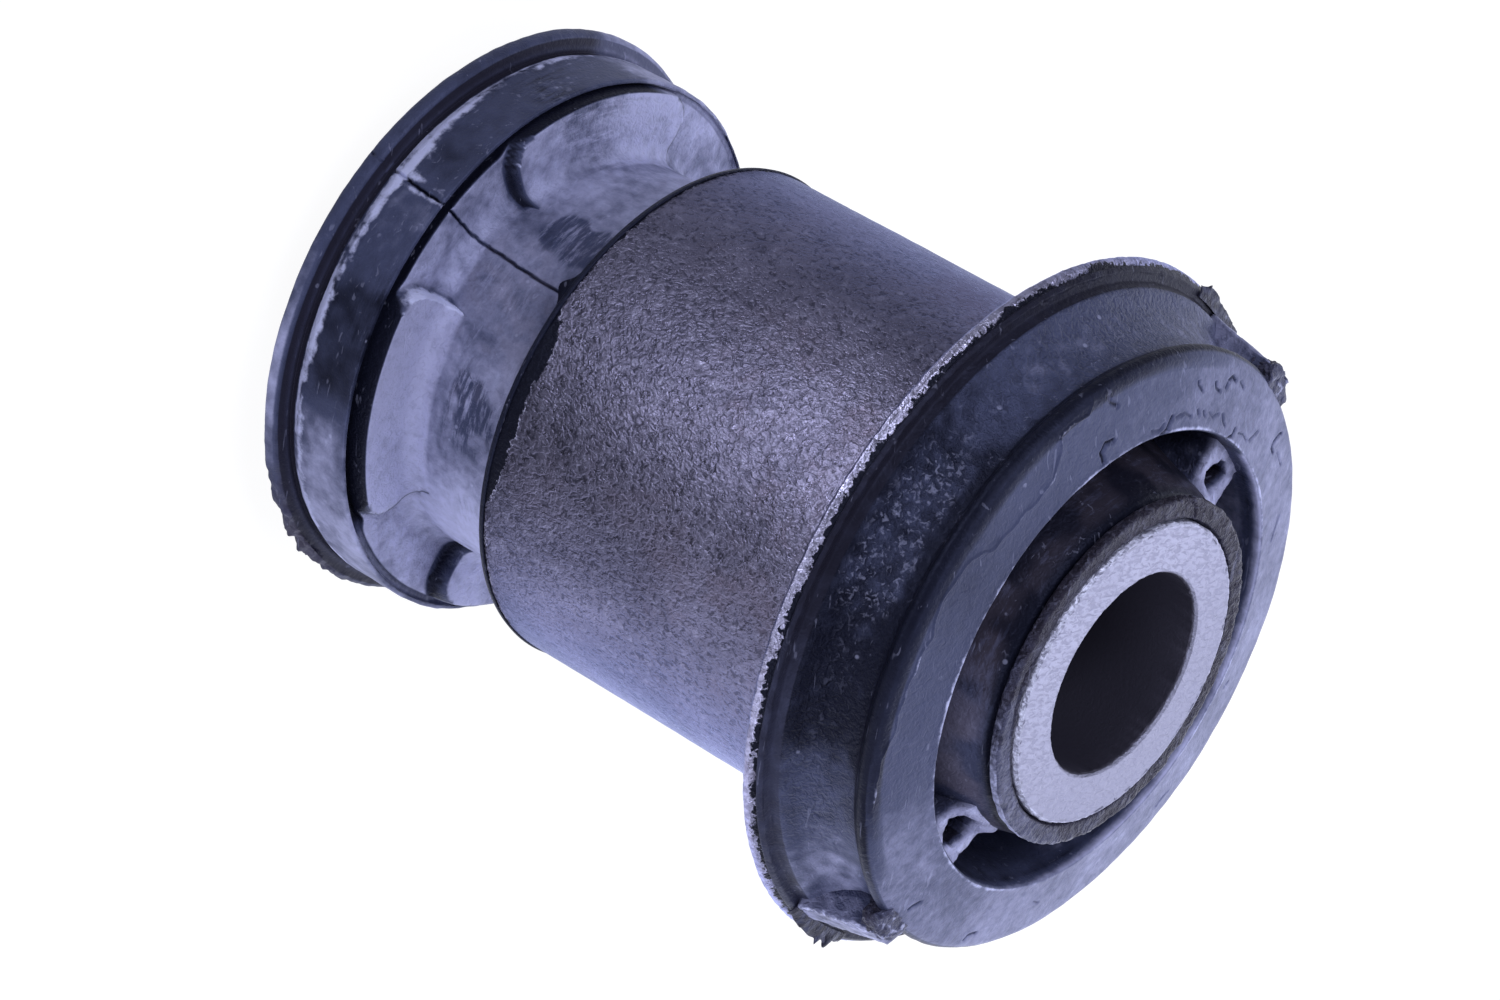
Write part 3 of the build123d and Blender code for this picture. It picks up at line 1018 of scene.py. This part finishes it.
def buildInnerTube(part):
    bm = turnedOutline(part)
    for vert in bm.verts:
        radius, angle, height = polar(vert.co)
        small = rough(vert.co, 0.7, 81)
        finest = rough(vert.co, 0.28, 83)
        if radius > 10.3 and height > 59.5:
            radius -= 0.05 + 0.06 * small + 0.07 * finest
        elif radius < 7.4 and height > 59.5:
            radius += 0.02 + 0.05 * small + 0.05 * finest
        if height > 59.9:
            height = 60.0 - 0.015 - 0.02 * abs(finest)
        elif radius < 7.2 and height < 59.4:
            radius += 0.02
        vert.co = around(radius, angle, height)
    return bm


outerPiece = finishPiece("outerTube", buildOuterTube(outerTube), coatedSteel)
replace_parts(outerPiece, "outer_sleeve")
innerPiece = finishPiece("innerTube", buildInnerTube(innerTube), bareSteel)
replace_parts(innerPiece, "inner_sleeve")


# Bridges over the recess: a torn web with a hole, closed on every side

bridges = dict(
    top=56.72,
    depth=5.3,
    spacing=0.28,
    near=dict(
        outline=[(16.35, -9.2), (15.3, -8.6), (13.4, -6.8), (12.2, -5.4), (12.1, 4), (12.15, 14),
                 (12.75, 13.2), (13.35, 11.4), (14.65, 9.6), (15.6, 8.5), (16.35, 9.3)],
        hole=[(15.55, 0.4), (14.95, -3.7), (14.1, -5.6), (13.15, -2.6), (12.8, 2.8), (13.5, 7.4),
              (14.9, 5.2)],
    ),
    far=dict(
        outline=[(16.35, -170.2), (14.6, -171.8), (13.1, -173.4), (12.15, -174.2), (12.1, 176),
                 (12.3, 170), (13.4, 169.6), (14.3, 171.2), (15.76, 172.9), (16.35, 172.6)],
        hole=[(15.35, -177.6), (13.95, -174.6), (13.3, -177.2), (12.85, -179.7), (13.45, 177.4),
              (14.04, 175.3), (15.1, 175.2), (15.45, 179.1)],
    ),
)


def addLoop(bm, spots, height, spacing):
    verts = [bm.verts.new(around(radius, angle, height)) for radius, angle in spots]
    edges = [bm.edges.new(pair) for pair in zip(verts, verts[1:] + verts[:1])]
    for edge in edges:
        cuts = math.ceil(edge.calc_length() / spacing) - 1
        if cuts > 0:
            bmesh.ops.subdivide_edges(bm, edges=[edge], cuts=cuts)


def buildBridge(part, side):
    bm = bmesh.new()
    for spots in (side["outline"], side["hole"]):
        addLoop(bm, spots, part["top"], part["spacing"])
    bmesh.ops.bridge_loops(bm, edges=bm.edges[:])
    bmesh.ops.subdivide_edges(bm, edges=bm.edges[:], cuts=1, use_grid_fill=True)
    made = bmesh.ops.extrude_face_region(bm, geom=bm.faces[:])
    sunk = [item for item in made["geom"] if isinstance(item, bmesh.types.BMVert)]
    bmesh.ops.translate(bm, verts=sunk, vec=(0, 0, -part["depth"]))
    for _ in range(3):
        tall = [edge for edge in bm.edges if abs(edge.verts[0].co.z - edge.verts[1].co.z) > 0.5]
        bmesh.ops.subdivide_edges(bm, edges=tall, cuts=1)
    layers = maskLayers(bm)
    holeMiddle = sum((around(*spot, part["top"]) for spot in side["hole"]), Vector()) / len(side["hole"])
    for vert in bm.verts:
        place = vert.co.copy()
        small = rough(place, 0.7, 91)
        finest = rough(place, 0.3, 93)
        top = ease(part["top"] - 0.5, part["top"], place.z)
        inHole = ease(1.7, 1.2, (Vector((place.x, place.y, part["top"])) - holeMiddle).length)
        vert.co += Vector((0.1 * small, 0.1 * rough(place, 0.7, 95), (0.1 * small + 0.07 * finest) * top))
        vert.co.z += 0.9 * top * ease(13.5, 12.5, polar(place)[0])   # the web climbs a little up the hub
        worn = 0.45 * top * ease(0.0, 0.4, small + 0.15)
        values = (0.4 + 0.52 * top + 0.3 * small, 0.1, 0.35, worn, 0.1)
        if place.z < part["top"] - 0.05:
            toward = holeMiddle - vert.co
            toward.z = 0
            vert.co += toward * 0.12 * inHole   # the torn hole narrows downwards
            # Painted shade: dark down inside the hole
            if inHole > 0.3:
                values = (0.06 + 0.15 * small, 0.1, 0.4, 0.0, 0.0)
        paint(vert, layers, values)
    return bm


for sideName in ("near", "far"):
    finishPiece(sideName + "Bridge", buildBridge(bridges, bridges[sideName]), rubberSkin)


# Ribs over the collar, gate stubs by the ring and torn flash on the rim, each bent from a cut cube

def between(ends, share):
    return ends[0] + (ends[1] - ends[0]) * share


def blockOf(cuts, placeOf, valuesOf):
    bm = bmesh.new()
    bmesh.ops.create_cube(bm, size=2)
    bmesh.ops.subdivide_edges(bm, edges=bm.edges[:], cuts=cuts, use_grid_fill=True)
    layers = maskLayers(bm)
    for vert in bm.verts:
        x, y, z = vert.co
        vert.co = placeOf(x, y, z)
        paint(vert, layers, valuesOf(x, y, z, vert.co))
    return bm


ribs = dict(
    cuts=34,
    bend=0.8,   # how far along the rib turns inwards over the ring
    girth=22.5,
    near=dict(turn=3.8, half=1.35, seed=101, radii=(23.45, 22.35, 21.3), heights=(50.75, 56.15, 56.62)),
    far=dict(turn=-178.2, half=1.3, seed=131, radii=(23.3, 22.25, 21.3), heights=(50.75, 56.1, 56.55)),
)


def buildRib(part, side):
    seed = side["seed"]

    def placeOf(x, y, z):
        along = (x + 1) / 2
        bend = part["bend"]
        leg, share = (0, along / bend) if along < bend else (1, (along - bend) / (1 - bend))
        radius = between(side["radii"][leg:], share)
        height = between(side["heights"][leg:], share)
        depth = (1 - z) / 2
        across = y * side["half"] * (1 + 0.35 * depth)
        angle = side["turn"] + math.degrees(across / part["girth"])
        radius -= depth * 3.4 * (0.35 + 0.65 * (1 - abs(along - 0.5))) + 0.1 * abs(y) ** 3
        height -= depth * 0.7
        spot = around(radius, angle, height)
        top = ease(0.25, 0.0, depth)
        crinkle = hump(y, -0.92, 0.22) * top
        shift = 0.07 * rough(spot, 1.2, seed) + (0.05 + 0.12 * crinkle) * rough(spot, 0.32, seed + 3)
        return around(radius + shift + 0.07 * crinkle, angle, height + shift * 0.4)

    def valuesOf(x, y, z, spot):
        depth = (1 - z) / 2
        small = rough(spot, 0.6, seed + 5)
        # Painted shade: the sides are dark, lighter only near the top towards the rim end
        if depth > 0.04:
            tone = 0.05 + 0.6 * ease(0.95, 0.0, x) * ease(0.85, 0.35, depth) + 0.15 * small
            return tone, 0.1, 0.3, 0.0, 0.2
        crinkle = hump(y, -0.88, 0.22)
        tone = 0.74 + 0.2 * small + 0.2 * rough(spot, 2.0, seed)
        worn = 0.65 * crinkle * ease(-0.25, 0.25, rough(spot, 0.35, seed + 9))
        return tone, 0.1, 0.25 + 0.5 * crinkle, worn, 0.2

    return blockOf(part["cuts"], placeOf, valuesOf)


stubs = dict(
    cuts=18,
    near=dict(angles=(-2.6, 5.2), radii=(20.6, 22.35), heights=(55.3, 57.02), seed=151),
    far=dict(angles=(-183.5, -174.6), radii=(20.6, 22.45), heights=(55.0, 56.9), seed=171),
)


def buildStub(part, side):
    seed = side["seed"]

    def placeOf(x, y, z):
        out = (y + 1) / 2
        up = (z + 1) / 2
        angle = between(side["angles"], (x + 1) / 2)
        radius = between(side["radii"], out) - 0.55 * out * abs(x) ** 2.5
        height = between(side["heights"], up) - 0.35 * out ** 2 * up
        spot = around(radius, angle, height)
        push = Vector([rough(spot, 0.8, seed + shift) for shift in (0, 2, 4)]) * 0.28
        push += Vector([rough(spot, 0.28, seed + shift) for shift in (5, 6, 7)]) * 0.16
        return spot + push * (0.4 + 0.6 * out)

    def valuesOf(x, y, z, spot):
        small = rough(spot, 0.45, seed + 8)
        up = ease(0.2, 1.0, z)
        return 0.14 + 0.24 * up + 0.25 * small, 0.3, 0.6, 0.4 * up * ease(0.05, 0.4, small), 0.2

    return blockOf(part["cuts"], placeOf, valuesOf)


flash = dict(
    cuts=44,
    near=dict(angles=(0.5, 18.5), seed=201, reach=0.85),
    far=dict(angles=(-187.0, -168.0), seed=231, reach=0.75),
    root=23.3,
    limit=24.17,
)


def buildFlash(part, side):
    seed = side["seed"]

    def placeOf(x, y, z):
        angle = between(side["angles"], (x + 1) / 2)
        out = (y + 1) / 2
        ends = ease(1.0, 0.75, abs(x))
        tooth = max(0.0, rough(around(24, angle, 0), 0.45, seed)) * 1.3
        lobe = max(0.0, rough(around(24, angle, 0), 2.2, seed + 3) + 0.25)
        radius = part["root"] + out * (0.75 + side["reach"] * ends * (0.55 * lobe + 0.75 * tooth))
        radius = min(radius, part["limit"] / abs(math.cos(math.radians(angle))))
        height = 50.72 - 0.25 * out * out + 0.25 * ends * rough(around(24, angle, out), 1.2, seed + 5) * out
        height += 0.05 * z * (1.25 - out)
        return around(radius, angle, height)

    def valuesOf(x, y, z, spot):
        return 0.16 + 0.3 * rough(spot, 0.5, seed + 8), 0.15, 0.25, 0.0, 0.0

    return blockOf(part["cuts"], placeOf, valuesOf)


blocks = (("Rib", buildRib, ribs), ("Stub", buildStub, stubs), ("Flash", buildFlash, flash))
for sideName in ("near", "far"):
    for label, build, part in blocks:
        finishPiece(sideName + label, build(part, part[sideName]), rubberSkin)


# Studio: a pale floor, white behind the bush and darker towards the camera

studio = dict(
    tint=(0.82, 0.85, 1.0, 1.0),
    floorSize=8.0,
    floorColour=(0.15, 0.15, 0.15, 1),
    floorGlow=0.93,
    across=(0.15, 0.9887, 0.0),
    acrossReach=0.09,
    frontLevel=0.42,
    backLevel=1.2,
    aside=(0.9, 0.44, 0.0),
    asideStart=0.032,
    asideEnd=0.052,
    asideLevel=0.85,
    cardPlace=(0.003, -0.092),
    cardNarrow=0.7,
    cardReach=0.05,
    cardLevel=10.0,
    cardEdge=0.078,
    edgeBlur=0.004,
    flagPlace=(0.034, -0.052, 0.0),
    flagReach=0.072,
    skyWay=(-0.2322, 0.9727, -0.35),
    skyLow=0.15,
    skyHigh=2.0,
    lamps=dict(
        topLamp=dict(place=(-0.25, 0.55, 1.15), size=1.1, power=6.0),
        fillLamp=dict(place=(-0.45, -0.85, 0.9), size=0.8, power=9.8),
        sideLamp=dict(place=(1.05, -0.3, 0.62), size=0.8, power=7.0),
    ),
    lampTarget=(0, 0, 0.03),
)


def floorMaterial(setup):
    material = bpy.data.materials.new("paleFloor")
    material.use_nodes = True
    tree = material.node_tree
    tree.nodes.clear()
    place = wire(tree, "TexCoord", output="Object")
    rays = wiresOf(tree, make(tree, "LightPath"))
    behind = measured("DOT_PRODUCT", place, setup["across"])
    level = fade(behind, -setup["acrossReach"], setup["acrossReach"], setup["frontLevel"], setup["backLevel"])
    aside = measured("DOT_PRODUCT", place, setup["aside"])
    level = level + fade(aside, setup["asideStart"], setup["asideEnd"], 0.0, setup["asideLevel"])
    # mirrored rays alone meet a dark patch and a bright card
    flag = fade(measured("DISTANCE", place, setup["flagPlace"]), 0.0, setup["flagReach"], 1.0, 0.0)
    level = level * (1.0 - flag * rays["Is Glossy Ray"])
    middle = (setup["cardNarrow"] * setup["cardPlace"][0], setup["cardPlace"][1], 0)
    away = measured("DISTANCE", stretched(place, (setup["cardNarrow"], 1.0, 1.0)), middle)
    card = fade(away, 0.0, setup["cardReach"], setup["cardLevel"], 0.0)
    edge = (setup["cardEdge"] - setup["edgeBlur"], setup["cardEdge"] + setup["edgeBlur"])
    card = card * fade(measured("LENGTH", place), *edge)
    level = level + card * rays["Is Glossy Ray"]
    bounced = wire(tree, "Emission", {"Color": setup["tint"], "Strength": level})
    lit = wire(tree, "BsdfDiffuse", {"Color": setup["floorColour"]})
    glow = wire(tree, "Emission", {"Strength": setup["floorGlow"]})
    seen = wire(tree, "AddShader", {0: lit, 1: glow})
    both = wire(tree, "MixShader", {0: rays["Is Camera Ray"], 1: bounced, 2: seen})
    make(tree, "OutputMaterial", {"Surface": both})
    return material


def buildFloor(setup):
    bm = bmesh.new()
    bmesh.ops.create_grid(bm, x_segments=2, y_segments=2, size=setup["floorSize"] / 2)
    mesh = bpy.data.meshes.new("floor")
    bm.to_mesh(mesh)
    bm.free()
    mesh.materials.append(floorMaterial(setup))
    addObject("floor", mesh)


def buildWorld(setup):
    world = bpy.data.worlds.new("studio")
    bpy.context.scene.world = world
    world.use_nodes = True
    tree = world.node_tree
    tree.nodes.clear()
    seen = wiresOf(tree, make(tree, "LightPath"))["Is Camera Ray"]
    behind = measured("DOT_PRODUCT", wire(tree, "TexCoord", output="Generated"), setup["skyWay"])
    level = fade(behind, 0.22, 0.66, setup["skyLow"], setup["skyHigh"])
    sky = {"Color": mixColour(seen, setup["tint"], (1, 1, 1, 1)), "Strength": level.most(seen)}
    make(tree, "OutputWorld", {"Surface": wire(tree, "Background", sky)})


def addLamp(name, setup, place, size, power):
    data = bpy.data.lights.new(name, "AREA")
    data.shape = "SQUARE"
    data.size = size
    data.energy = power
    data.color = setup["tint"][:3]
    lamp = addObject(name, data)
    lamp.location = place
    lamp.rotation_mode = "QUATERNION"
    lamp.rotation_quaternion = (Vector(place) - Vector(setup["lampTarget"])).to_track_quat("Z", "Y")
    lamp.visible_camera = False


buildFloor(studio)
buildWorld(studio)
for name, lamp in studio["lamps"].items():
    addLamp(name, studio, **lamp)
placeCamera(view)
bpy.context.scene.view_settings.view_transform = "Standard"
print("studio built")
